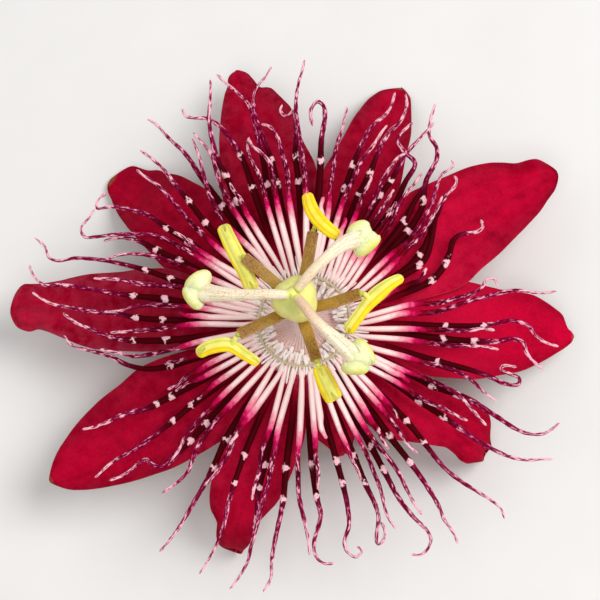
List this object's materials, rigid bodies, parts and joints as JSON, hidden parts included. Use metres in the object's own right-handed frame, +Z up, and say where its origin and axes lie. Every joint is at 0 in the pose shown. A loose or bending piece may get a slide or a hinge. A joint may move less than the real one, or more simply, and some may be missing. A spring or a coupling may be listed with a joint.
{
  "type": "passion flower",
  "caption": "Open crimson flower lying on its back: long banded corona filaments over spreading sepals and petals, with a raised column of stamens and styles.",
  "frame": {"origin": "On the surface that the flower lies on, under the middle of the whole flower; the column stands about 4 mm to one side of it.", "axes": "+Z up, out of the flower's face along its column; +X towards the sepal that lies over the cut stalk; +Y completes a right-handed frame."},
  "size_m": [0.1032, 0.1002, 0.0434],
  "materials": {
    "tepal": "velvety crimson, finely veined",
    "corona_outer": "dark maroon with white and pink bands, mottled purple and white tips",
    "corona_inner": "white at the foot, through pink to maroon, mottled tips",
    "corona_teeth": "waxy off-white",
    "throat": "mauve, finely ribbed",
    "column": "waxy off-white",
    "stamen": "olive tan with brown specks",
    "anther": "powdery yellow",
    "ovary": "waxy yellow-green",
    "style": "waxy cream with faint red specks",
    "stigma": "waxy pale yellow-green",
    "green": "satin green"
  },
  "bodies": {
    "root": {"pedicel": "green", "bract_1": "green", "bract_2": "green", "bract_3": "green", "calyx_tube": "green", "sepal_1": "tepal", "sepal_2": "tepal", "sepal_3": "tepal", "sepal_4": "tepal", "sepal_5": "tepal", "petal_1": "tepal", "petal_2": "tepal", "petal_3": "tepal", "petal_4": "tepal", "petal_5": "tepal", "corona_outer_row": "corona_outer", "corona_inner_row": "corona_inner", "corona_teeth": "corona_teeth", "operculum": "throat", "androgynophore": "column", "stamen_filament_1": "stamen", "anther_1": "anther", "stamen_filament_2": "stamen", "anther_2": "anther", "stamen_filament_3": "stamen", "anther_3": "anther", "stamen_filament_4": "stamen", "anther_4": "anther", "stamen_filament_5": "stamen", "anther_5": "anther", "ovary": "ovary", "style_1": "style", "stigma_1": "stigma", "style_2": "style", "stigma_2": "stigma", "style_3": "style", "stigma_3": "stigma"}
  },
  "joints": []
}
